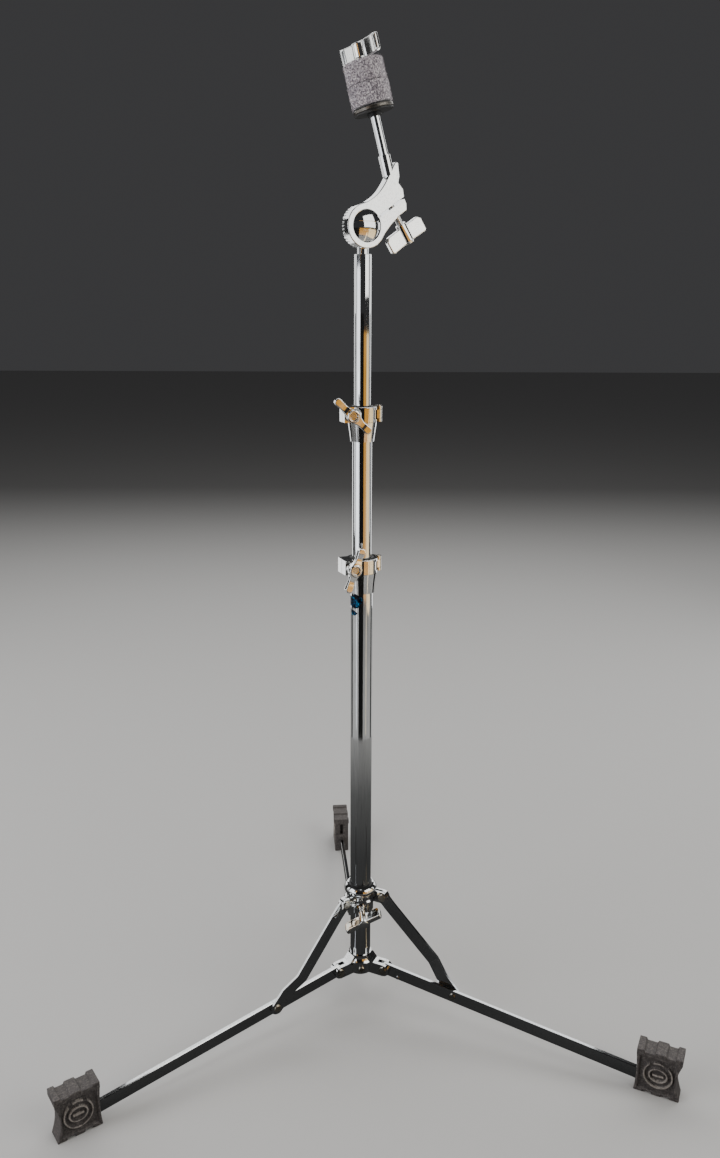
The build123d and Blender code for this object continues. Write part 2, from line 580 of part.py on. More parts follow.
def bow_tie_nut(prefix, at, bar_at, boss_h, wing_turn):
    """Wing nut: a boss with a sunk middle, and a bar that is waisted beside it."""
    x_dir = at.front.x_dir.rotate(Axis((0, 0, 0), at.front.z_dir), wing_turn)
    wing = Plane(origin=at.front.from_local_coords(Vector(0, 0, NUT_AT)), x_dir=x_dir, z_dir=at.front.z_dir)
    tip, shoulder = WING_SPAN / 2, WING_SPAN / 2 - 3.2
    wide, root, narrow, end = 5.2, 4.7, 2.9, 3.3
    with BuildPart() as nut:
        with BuildSketch(wing):
            Circle(BOSS_R)
        extrude(amount=boss_h)
        with BuildSketch(wing.offset(bar_at)):
            with BuildLine():
                Polyline((0, wide), (5, root), (11, narrow), (shoulder, end))
                ThreePointArc((shoulder, end), (tip, 0), (shoulder, -end))
                Polyline((shoulder, -end), (11, -narrow), (5, -root), (0, -wide), (-5, -root),
                         (-11, -narrow), (-shoulder, -end))
                ThreePointArc((-shoulder, -end), (-tip, 0), (-shoulder, end))
                Polyline((-shoulder, end), (-11, narrow), (-5, root), (0, wide))
            make_face()
        extrude(amount=BAR_DEPTH)
        fillet(nut.edges().group_by(Axis((0, 0, 0), wing.z_dir))[-1], 0.8)
        with BuildSketch(wing.offset(-1)):
            Circle(BOLT_R + FIT)
        extrude(amount=boss_h + 2, mode=Mode.SUBTRACT)
        with BuildSketch(wing.offset(boss_h - SUNK)):
            Circle(SUNK_R)
        extrude(amount=4, mode=Mode.SUBTRACT)
    save(nut, f"{prefix}_wing_nut")


def clamp(prefix, inner_r, outer_r, cup_z, ring_z, nut_az, wing_turn):
    """One height clamp: cup and rear half ring, hinged gate, pin, bolt, washer and wing nut."""
    at = clamp_frame(inner_r, ring_z, nut_az)
    bar_at = at.ring_r + 1.0 - NUT_AT
    boss_h = bar_at + BAR_DEPTH + 0.9
    clamp_body(prefix, at, inner_r, outer_r, cup_z)
    clamp_gate(prefix, at)
    clamp_fasteners(prefix, at, inner_r, boss_h)
    bow_tie_nut(prefix, at, bar_at, boss_h, wing_turn)


clamp("lower", MID_R, BASE_R, LOWER_CUP_Z, LOWER_RING_Z, LOWER_NUT_AZ, 70)
clamp("upper", TOP_R, MID_R, UPPER_CUP_Z, UPPER_RING_Z, UPPER_NUT_AZ, -43)

# ---- tilter --------------------------------------------------------------------------------

YAW = radians(TILT_YAW)
TILT_AXIS = Vector(sin(YAW), -cos(YAW), 0)
tilt_plane = Plane(origin=(0, 0, TILT_Z), x_dir=(cos(YAW), sin(YAW), 0), z_dir=TILT_AXIS)

PLUG_R, PLUG_DEPTH, NECK_R = TOP_R - TOP_WALL, 18.0, 5.2
with BuildPart() as tilter_base:
    with BuildSketch(tilt_plane.offset(DISC_BACK)):
        Circle(TILT_R - GAP)
    extrude(amount=DISC_FRONT - DISC_BACK)
    with BuildSketch(tilt_plane.offset(DISC_FRONT)):
        Circle(DRUM_R - FIT)
    extrude(amount=DRUM_FRONT - DISC_FRONT)
    with BuildSketch(tilt_plane.offset(DISC_BACK)):
        with PolarLocations(TILT_R - GAP, 40):
            Circle(0.7)
    extrude(amount=5.0, mode=Mode.SUBTRACT)
    with BuildSketch(Plane.XY.offset(TOP_TUBE_END - PLUG_DEPTH)):
        Circle(PLUG_R)
    extrude(amount=PLUG_DEPTH)
    with BuildSketch(Plane.XY.offset(TOP_TUBE_END)):
        Circle(NECK_R)
    extrude(amount=2 * NECK_R)
    with BuildSketch(tilt_plane.offset(DISC_FRONT)):
        Circle(TILT_R + GAP)
        Circle(DRUM_R - FIT, mode=Mode.SUBTRACT)
    extrude(amount=20, mode=Mode.SUBTRACT)
save(tilter_base, "tilter_base")

BAND_W, BAND_RISE, GROOVE_W, GROOVE_T = 6.2, 0.5, 0.8, 0.8
cap_plane = Plane(origin=(0, 0, TILT_Z), x_dir=tilt_plane.x_dir, z_dir=(0, 0, -1))


def cap_dome(rise):
    """Domed disc on the drum, turned about the tilter's axis, raised or lowered by rise."""
    with BuildPart() as dome:
        with BuildSketch(cap_plane):
            with BuildLine():
                Polyline((0, CAP_FRONT + rise), (0, DRUM_FRONT), (DRUM_R - FIT, DRUM_FRONT),
                         (DRUM_R - FIT, CAP_EDGE + rise))
                ThreePointArc((DRUM_R - FIT, CAP_EDGE + rise),
                              (DRUM_R / 2, CAP_FRONT + rise - (CAP_FRONT - CAP_EDGE) / 4.1),
                              (0, CAP_FRONT + rise))
            make_face()
        revolve(axis=Axis((0, 0, TILT_Z), TILT_AXIS))
    return dome.part


with BuildPart() as cap_band:
    add(cap_dome(BAND_RISE))
    with BuildSketch(tilt_plane.offset(DRUM_FRONT)):
        Rectangle(2 * DRUM_R, BAND_W)
    extrude(amount=CAP_FRONT, mode=Mode.INTERSECT)

with BuildPart() as tilter_cap:
    add(cap_dome(0))
    with BuildSketch(tilt_plane.offset(DRUM_FRONT)):
        with GridLocations(1, BAND_W + GROOVE_W, 1, 2):
            Rectangle(2 * DRUM_R, GROOVE_W)
    extrude(amount=CAP_FRONT, mode=Mode.SUBTRACT)
    add(cap_dome(-GROOVE_T))
    add(cap_band.part)
save(tilter_cap, "tilter_cap")

lean = radians(ROD_LEAN)
back = radians(ROD_BACK)
ROD_DIR = (tilt_plane.x_dir * -sin(lean) + Vector(0, 0, 1) * cos(lean)) * cos(back) - TILT_AXIS * sin(back)
ROD_MOUTH = tilt_plane.from_local_coords(Vector(ROD_U, ROD_V, ROD_S))
rod_plane = Plane(origin=ROD_MOUTH, x_dir=TILT_AXIS, z_dir=ROD_DIR)

slit = radians(SLIT_ANGLE)
SCREW_S, JAW = 3.2, 11.0               # the screw's place across the arm, and the lower jaw's depth
screw_mouth = Vector(SCREW_ALONG * cos(slit) + JAW * sin(slit),
                     SCREW_ALONG * sin(slit) - JAW * cos(slit), SCREW_S)
screw_plane = Plane(origin=tilt_plane.from_local_coords(screw_mouth),
                    x_dir=tilt_plane.x_dir * cos(slit) + Vector(0, 0, 1) * sin(slit),
                    z_dir=tilt_plane.x_dir * sin(slit) - Vector(0, 0, 1) * cos(slit))

with BuildPart() as tilter_arm:
    with BuildSketch(tilt_plane.offset(ARM_BACK)):
        with BuildLine():
            Spline((-7, 17.4), (-1.5, 19.2), (5.1, 22.7), (12.1, 28.4), (17.8, 36.0), (23.0, 45.0),
                   (27.6, 53.4))
            Polyline((27.6, 53.4), (30.6, 53.4), (32.2, 42.5), (31.2, 37.0), (36.0, 32.0), (37.4, 24.8),
                     (39.6, 20.5), (40.0, 14.6), (32.9, 9.8), (28.6, 5.6))
            ThreePointArc((28.6, 5.6), (21.8, -1.6), (17.2, -7.6))
            Polyline((17.2, -7.6), (0, 0), (-7, 17.4))
        make_face()
        Circle(TILT_R)
    extrude(amount=ARM_FRONT - ARM_BACK)
    fillet(tilter_arm.edges().group_by(Axis((0, 0, 0), TILT_AXIS))[-1], ARM_EDGE_R)
    with BuildSketch(rod_plane.offset(-SLEEVE_L)):
        Circle(SLEEVE_R)
    extrude(amount=SLEEVE_L)
    with BuildSketch(tilt_plane.offset(ARM_BACK - 5)):
        Circle(DRUM_R)
    extrude(amount=30, mode=Mode.SUBTRACT)
    with BuildSketch(tilt_plane.offset(ARM_BACK - 5)):
        Circle(TILT_R + GAP)
    extrude(amount=DISC_FRONT + GAP - ARM_BACK + 5, mode=Mode.SUBTRACT)
    with BuildSketch(tilt_plane.offset(ARM_BACK - 5)):
        with Locations(Location((0, 0, 0), (0, 0, SLIT_ANGLE))):
            with Locations((12, 0)):
                Rectangle(60, SLIT_GAP, align=(Align.MIN, Align.CENTER))
    extrude(amount=30, mode=Mode.SUBTRACT)
    with BuildSketch(rod_plane.offset(-22)):
        Circle(ROD_R)
    extrude(amount=40, mode=Mode.SUBTRACT)
    with BuildSketch(screw_plane.offset(-24)):
        Circle(SHANK_R + FIT)
    extrude(amount=40, mode=Mode.SUBTRACT)
save(tilter_arm, "tilter_arm")

wing_screw("tilter_wing_screw", screw_plane, 0, 9.0, 23.0)

# ---- rod, seat, felts, sleeve and wing nut --------------------------------------------------

SLEEVE_TOP = FELT_AT + 2 * FELT_H + 0.2
ROD_TOP = 91.0
SLEEVE_WALL, FLANGE_T = 1.6, 1.0
CUP_T, CUP_NECK = 1.2, 4.0             # the cup's disc, and its neck round the rod
with BuildPart() as cymbal_rod:
    with BuildSketch(rod_plane.offset(-22)):
        Circle(ROD_R)
    extrude(amount=22 + ROD_TOP)
    chamfer(cymbal_rod.edges().filter_by(GeomType.CIRCLE).sort_by(Axis((0, 0, 0), ROD_DIR))[-1], 1.0)
save(cymbal_rod, "cymbal_rod")

with BuildPart() as seat_cup:
    with BuildSketch(rod_plane.offset(SEAT_AT - CUP_T)):
        Circle(SEAT_R - 0.4)
    extrude(amount=CUP_T)
    with BuildSketch(rod_plane.offset(SEAT_AT - CUP_NECK)):
        Circle(ROD_R + 2.2)
    extrude(amount=CUP_NECK)
    with BuildSketch(rod_plane.offset(SEAT_AT - CUP_NECK)):
        Circle(ROD_R)
    extrude(amount=CUP_NECK, mode=Mode.SUBTRACT)
save(seat_cup, "seat_cup")

with BuildPart() as seat_washer:
    with BuildSketch(rod_plane.offset(SEAT_AT)):
        Circle(SEAT_R)
        Circle(ROD_R, mode=Mode.SUBTRACT)
    extrude(amount=SEAT_T)
    fillet(seat_washer.edges().filter_by(GeomType.CIRCLE).sort_by(SortBy.RADIUS)[-2:], 1.0)
save(seat_washer, "seat_washer")

with BuildPart() as rod_sleeve:
    with BuildSketch(rod_plane.offset(FELT_AT - FLANGE_T)):
        Circle(LOWER_FELT_R - 1.2)
    extrude(amount=FLANGE_T)
    with BuildSketch(rod_plane.offset(FELT_AT)):
        Circle(ROD_R + SLEEVE_WALL)
    extrude(amount=2 * FELT_H - 1.0)
    with BuildSketch(rod_plane.offset(FELT_AT - FLANGE_T)):
        Circle(ROD_R)
    extrude(amount=2 * FELT_H + FLANGE_T, mode=Mode.SUBTRACT)
save(rod_sleeve, "rod_sleeve")


def felt(name, low, radius):
    """Pressed felt ring that fits over the sleeve."""
    with BuildPart() as piece:
        with BuildSketch(rod_plane.offset(low)):
            Circle(radius)
            Circle(ROD_R + SLEEVE_WALL, mode=Mode.SUBTRACT)
        extrude(amount=FELT_H)
    save(piece, name)


felt("lower_felt", FELT_AT, LOWER_FELT_R)
felt("upper_felt", FELT_AT + FELT_H, UPPER_FELT_R)

NUT_TURN, NUT_SPAN, NUT_H, NUT_WING_T = 16.0, 46.0, 15.0, 3.4
WING_END_R = 2.4                       # bead down each wing's end
nut_x = rod_plane.x_dir.rotate(Axis((0, 0, 0), ROD_DIR), NUT_TURN)
nut_plane = Plane(origin=rod_plane.from_local_coords(Vector(0, 0, SLEEVE_TOP)), x_dir=nut_x, z_dir=ROD_DIR)
nut_side = Plane(origin=nut_plane.origin, x_dir=nut_x, z_dir=nut_x.cross(ROD_DIR))
with BuildPart() as top_wing_nut:
    with BuildSketch(nut_plane):
        Circle(6.6)
    extrude(amount=NUT_H - 1.5)
    with BuildSketch(nut_plane):
        Circle(8.4)
    extrude(amount=2.0)
    with BuildSketch(nut_side):
        with BuildLine():
            reach = NUT_SPAN / 2 - WING_END_R
            Polyline((-reach, 2.4), (-6, 1.2), (6, 1.2), (reach, 2.4), (reach, NUT_H), (6, NUT_H - 1.6),
                     (-6, NUT_H - 1.6), (-reach, NUT_H), (-reach, 2.4))
        make_face()
    extrude(amount=NUT_WING_T / 2, both=True)
    with BuildSketch(nut_plane.offset(2.0)):
        with GridLocations(2 * reach, 1, 2, 1):
            Circle(WING_END_R)
    extrude(amount=NUT_H - 1.6)
    with BuildSketch(nut_plane.offset(-1)):
        Circle(ROD_R + FIT)
    extrude(amount=NUT_H + 5, mode=Mode.SUBTRACT)
save(top_wing_nut, "top_wing_nut")
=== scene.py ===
import json
from math import cos, pi, radians, sin

import bpy
import numpy as np
from mathutils import Matrix

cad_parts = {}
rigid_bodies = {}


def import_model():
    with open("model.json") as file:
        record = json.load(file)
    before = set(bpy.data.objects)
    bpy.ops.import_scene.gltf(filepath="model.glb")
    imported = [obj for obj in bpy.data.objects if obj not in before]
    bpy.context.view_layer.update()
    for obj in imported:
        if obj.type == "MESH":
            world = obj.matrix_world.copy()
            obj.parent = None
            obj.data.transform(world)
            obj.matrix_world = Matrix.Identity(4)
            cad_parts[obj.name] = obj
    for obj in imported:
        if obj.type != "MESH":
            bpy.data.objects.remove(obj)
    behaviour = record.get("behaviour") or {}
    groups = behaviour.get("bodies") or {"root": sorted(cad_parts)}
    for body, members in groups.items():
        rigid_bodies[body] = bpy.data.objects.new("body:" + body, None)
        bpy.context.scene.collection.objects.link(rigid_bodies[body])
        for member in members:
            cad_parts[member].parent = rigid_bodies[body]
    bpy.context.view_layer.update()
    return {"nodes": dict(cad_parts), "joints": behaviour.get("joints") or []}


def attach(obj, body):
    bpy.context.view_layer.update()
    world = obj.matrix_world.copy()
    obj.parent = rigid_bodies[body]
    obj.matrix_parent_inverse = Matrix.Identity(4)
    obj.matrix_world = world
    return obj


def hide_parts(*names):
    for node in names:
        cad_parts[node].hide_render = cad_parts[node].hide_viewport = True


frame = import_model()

joints = {joint["name"]: joint for joint in frame["joints"]}

# ---- tubes ---------------------------------------------------------------------------------
# Three steel tubes drawn to 22, 19 and 16 mm, polished lengthways and plated with bright
# chrome.  Years of sliding through the clamps have left fine lines along them.


def linear(hex_colour):
    """The linear RGBA of an sRGB hex colour."""
    srgb = np.array([int(hex_colour[i:i + 2], 16) / 255 for i in (1, 3, 5)])
    rgb = np.where(srgb <= 0.04045, srgb / 12.92, ((srgb + 0.055) / 1.055) ** 2.4)
    return (*rgb.tolist(), 1.0)


def add_node(tree, kind, links=None, values=None, **settings):
    """One shader node with its settings, its plain socket values and the links into it."""
    made = tree.nodes.new(kind)
    for key, value in settings.items():
        setattr(made, key, value)
    for socket, value in (values or {}).items():
        made.inputs[socket].default_value = value
    for socket, source in (links or {}).items():
        tree.links.new(source, made.inputs[socket])
    return made


def start_material(name):
    """An empty material: its tree, its output node and the object coordinates in metres."""
    material = bpy.data.materials.new(name)
    material.use_nodes = True
    tree = material.node_tree
    tree.nodes.clear()
    output = add_node(tree, "ShaderNodeOutputMaterial")
    place = add_node(tree, "ShaderNodeTexCoord").outputs["Object"]
    return material, tree, output, place


def ramp_node(tree, source, stops):
    """A colour ramp through (position, hex colour) stops, smooth between them."""
    ramp = add_node(tree, "ShaderNodeValToRGB", {"Fac": source})
    elements = ramp.color_ramp.elements
    while len(elements) < len(stops):
        elements.new(0.5)
    for element, (position, colour) in zip(elements, stops):
        element.position = position
        element.color = linear(colour)
    return ramp.outputs["Color"]


def plated(name, colours, roughness, stretch, grain, grain_depth, ripple, ripple_depth):
    """Chrome plate.  grain and ripple are sizes in metres of the fine marks and of the slow
    waves in the metal, stretch scales the coordinates so that the marks run one way, and the
    two depths are bump distances in metres."""
    material, tree, output, place = start_material(name)
    along = add_node(tree, "ShaderNodeMapping", {"Vector": place}, {"Scale": stretch})
    marks = add_node(tree, "ShaderNodeTexNoise", {"Vector": along.outputs["Vector"]},
                     {"Scale": 1 / grain, "Detail": 4.0, "Roughness": 0.65})
    waves = add_node(tree, "ShaderNodeTexNoise", {"Vector": place},
                     {"Scale": 1 / ripple, "Detail": 2.0, "Roughness": 0.5})
    dull = add_node(tree, "ShaderNodeTexNoise", {"Vector": place},
                    {"Scale": 45.0, "Detail": 5.0, "Roughness": 0.6})
    shine = add_node(tree, "ShaderNodeMapRange", {"Value": dull.outputs["Fac"]},
                     {"From Min": 0.35, "From Max": 0.75, "To Min": roughness[0], "To Max": roughness[1]})
    low = add_node(tree, "ShaderNodeBump", {"Height": waves.outputs["Fac"]},
                   {"Strength": 1.0, "Distance": ripple_depth})
    high = add_node(tree, "ShaderNodeBump", {"Height": marks.outputs["Fac"], "Normal": low.outputs["Normal"]},
                    {"Strength": 1.0, "Distance": grain_depth})
    colour = ramp_node(tree, marks.outputs["Fac"], list(zip((0.30, 0.48, 0.8), colours)))
    metal = add_node(tree, "ShaderNodeBsdfPrincipled",
                     {"Base Color": colour, "Roughness": shine.outputs["Result"],
                      "Normal": high.outputs["Normal"]},
                     {"Metallic": 1.0})
    tree.links.new(metal.outputs["BSDF"], output.inputs["Surface"])
    return material


def dress(material, *nodes):
    """Give carried-over nodes their finish."""
    for name in nodes:
        frame["nodes"][name].data.materials.clear()
        frame["nodes"][name].data.materials.append(material)


# Chrome over drawn steel: a near mirror with faint lines along it, 0.5 mm apart so that they
# show, and slow waves that make the reflections wander as they run up the tube.
tube_chrome = plated("chrome on drawn tube", ("#A4A6A8", "#C2C4C5", "#CED0D0"), (0.03, 0.085), (1, 1, 0.02),
                     0.0005, 0.00000012, 0.03, 0.00001)
dress(tube_chrome, "base_tube", "middle_tube", "top_tube", "cymbal_rod")

# ---- legs and struts -----------------------------------------------------------------------
# Three flat bars and three bent straps, cropped from steel strip, tumbled so that their edges
# are soft, and chromed.  Carrying has scuffed the flat sides a little.

strip_chrome = plated("chrome on steel strip", ("#A6A8A9", "#BDBFC0", "#CBCCCC"), (0.05, 0.15), (1, 1, 1),
                      0.0015, 0.0000008, 0.015, 0.00003)
sides = ("left", "right", "rear")
dress(strip_chrome, *(f"leg_{side}" for side in sides), *(f"strut_{side}" for side in sides))

# ---- hub, collar, clamps and tilter castings --------------------------------------------------
# Zinc die castings, barrel polished and chromed.  The plate follows the casting's slightly
# uneven skin, so the reflections break up more than on the tubes.

cast_chrome = plated("chrome on zinc casting", ("#A5A6A6", "#C4C5C5", "#D2D3D2"), (0.04, 0.12), (1, 1, 1),
                     0.0012, 0.0000006, 0.008, 0.000016)
dress(cast_chrome, "hub", "collar", "lower_clamp", "lower_gate", "upper_clamp", "upper_gate", "tilter_base",
      "tilter_arm", "tilter_cap")

# ---- rivets, bolts, pins and washers ---------------------------------------------------------
# Small cold-formed steel fasteners with bright zinc plate: greyer and duller than the chrome,
# with a faint yellow cast where the plate has aged.

zinc_plate = plated("zinc plate on steel", ("#7F7C74", "#A9A69D", "#C4C2BA"), (0.2, 0.38), (1, 1, 1),
                    0.0008, 0.000002, 0.004, 0.00001)
dress(zinc_plate, "hub_screw", "hub_rivets", "collar_rivets", "lower_hinge_pin", "upper_hinge_pin",
      "lower_clamp_bolt", "upper_clamp_bolt", "lower_washer", "upper_washer",
      *(f"{half}_rivet_{side}" for half in ("leg", "strut") for side in sides))

# ---- plastic liners, bushings, sleeve and cup ---------------------------------------------------
# Black nylon, injection moulded.  It has a satin skin with a very fine pebble.


def moulded(name, colours, speckle, roughness, pebble, pebble_depth):
    """A moulded black or grey plastic or rubber: speckle and pebble are sizes in metres."""
    material, tree, output, place = start_material(name)
    spots = add_node(tree, "ShaderNodeTexNoise", {"Vector": place},
                     {"Scale": 1 / speckle, "Detail": 6.0, "Roughness": 0.7})
    grain = add_node(tree, "ShaderNodeTexNoise", {"Vector": place}, {"Scale": 1 / pebble, "Detail": 3.0})
    dull = add_node(tree, "ShaderNodeMapRange", {"Value": spots.outputs["Fac"]},
                    {"From Min": 0.3, "From Max": 0.7, "To Min": roughness[0], "To Max": roughness[1]})
    bump = add_node(tree, "ShaderNodeBump", {"Height": grain.outputs["Fac"]},
                    {"Strength": 1.0, "Distance": pebble_depth})
    colour = ramp_node(tree, spots.outputs["Fac"], list(zip((0.36, 0.52, 0.68), colours)))
    skin_shader = add_node(tree, "ShaderNodeBsdfPrincipled",
                           {"Base Color": colour, "Roughness": dull.outputs["Result"],
                            "Normal": bump.outputs["Normal"]}, {"IOR": 1.5})
    tree.links.new(skin_shader.outputs["BSDF"], output.inputs["Surface"])
    return material


black_nylon = moulded("black moulded nylon", ("#070708", "#0C0C0D", "#161618"), 0.003, (0.45, 0.65), 0.0006,
                      0.00002)
dress(black_nylon, "collar_liner", "lower_bushing", "upper_bushing", "rod_sleeve", "seat_cup")

# ---- rubber feet ---------------------------------------------------------------------------
# Each foot is a boot moulded in dark grey rubber and pushed on the leg's end.  A ribbed cap
# overhangs its sides, both ends are drawn in, and two plain ovals and a bar are raised on each
# side.

MM = 0.001


def soften(points, step, spread):
    """A closed outline with round corners: the polygon is divided into equal steps, then each
    point becomes the bell-weighted mean of its neighbours.  Sizes are in millimetres."""
    corners = np.array([*points, points[0]], float)
    lengths = np.r_[0, np.cumsum(np.hypot(*np.diff(corners, axis=0).T))]
    count = int(lengths[-1] / step)
    at = np.linspace(0, lengths[-1], count, endpoint=False)
    line = np.stack([np.interp(at, lengths, corners[:, k]) for k in (0, 1)], 1)
    reach = int(3 * spread / step) + 1
    offsets = np.arange(-reach, reach + 1)
    weights = np.exp(-0.5 * (offsets * step / spread) ** 2)
    return sum(w * np.roll(line, k, axis=0) for w, k in zip(weights / weights.sum(), offsets))


def slab(outline, centre, face, edge, rings, walls):
    """Rows of (u, v, t) from the middle of one face to the middle of the other.  Each row is
    the outline, pulled in along its normal by the rounding of the edge, or scaled towards the
    centre across a face.  face(u, v, side) is half the thickness there, in millimetres."""
    tangent = np.roll(outline, -1, axis=0) - np.roll(outline, 1, axis=0)
    normal = np.stack([tangent[:, 1], -tangent[:, 0]], 1) / np.hypot(*tangent.T)[:, None]
    inner = outline - normal * edge
    scale = np.linspace(0, 1, rings)[:, None, None]
    spread = centre + (inner[None] - centre) * scale
    turn = np.linspace(0, pi / 2, 6)[1:]
    rim = outline[None] - normal[None] * (edge * (1 - np.sin(turn)))[:, None, None]

    def half(side):
        flat = side * face(spread[..., 0], spread[..., 1], side)
        height = np.abs(flat[-1])
        curve = side * (height[None] - edge + edge * np.cos(turn)[:, None])
        return np.concatenate([np.dstack([spread, flat]), np.dstack([rim, curve])])

    front, back = half(1), half(-1)
    share = np.linspace(0, 1, walls + 2)[1:-1, None]
    wall_t = front[-1, :, 2] * (1 - share) + back[-1, :, 2] * share
    wall = np.dstack([np.repeat(outline[None], walls, axis=0), wall_t])
    return np.concatenate([front, wall, back[::-1]])


def skin(name, grid, place, body, material, closed_rows=False):
    """A closed mesh from a grid of points in millimetres.  Columns always join up.  The rows
    join up too if closed_rows, and otherwise the first and the last row each shrink to a pole.
    place is (origin in metres, three unit axes as rows).  The faces are turned outwards by the
    sign of the volume, and points of a shrunken row that no face uses are left out."""
    origin, axes = place
    rows, columns = grid.shape[:2]
    if not closed_rows:
        grid = grid.copy()
        grid[[0, -1]] = grid[[0, -1]].mean(axis=1, keepdims=True)
    points = grid.reshape(-1, 3) @ np.array(axes, float) * MM + np.array(origin, float)
    last = rows if closed_rows else rows - 1
    i, j = np.meshgrid(np.arange(last), np.arange(columns), indexing="ij")
    up, right = (i + 1) % rows, (j + 1) % columns
    quads = np.stack([i * columns + j, up * columns + j, up * columns + right, i * columns + right], -1)
    quads = quads.reshape(-1, 4)
    if not closed_rows:
        quads = np.where(quads < columns, 0, quads)
        pole = (rows - 1) * columns
        quads = np.where(quads >= pole, pole, quads)
    a, b, c, d = (points[quads[:, k]] for k in range(4))
    volume = np.einsum("ij,ij->i", a, np.cross(b, c)).sum() + np.einsum("ij,ij->i", a, np.cross(c, d)).sum()
    if volume < 0:
        quads = quads[:, ::-1]
    used, quads = np.unique(quads, return_inverse=True)
    faces = [list(dict.fromkeys(quad)) for quad in quads.reshape(-1, 4).tolist()]
    mesh = bpy.data.meshes.new(name)
    mesh.from_pydata(points[used].tolist(), [], [face for face in faces if len(face) > 2])
    piece = bpy.data.objects.new(name, mesh)
    bpy.context.scene.collection.objects.link(piece)
    mesh.polygons.foreach_set("use_smooth", np.ones(len(mesh.polygons), bool))
    mesh.materials.append(material)
    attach(piece, body)
    return piece


def extent(node, origin, axis):
    """Lowest and highest place of a node's points along an axis, in millimetres from origin."""
    mesh = frame["nodes"][node].data
    points = np.zeros(len(mesh.vertices) * 3)
    mesh.vertices.foreach_get("co", points)
    along = (points.reshape(-1, 3) - np.array(origin)) @ np.array(axis) / MM
    return along.min(), along.max()


def step(x, low, high):
    """Smooth rise from 0 at low to 1 at high."""
    t = np.clip((x - low) / (high - low), 0, 1)
    return t * t * (3 - 2 * t)


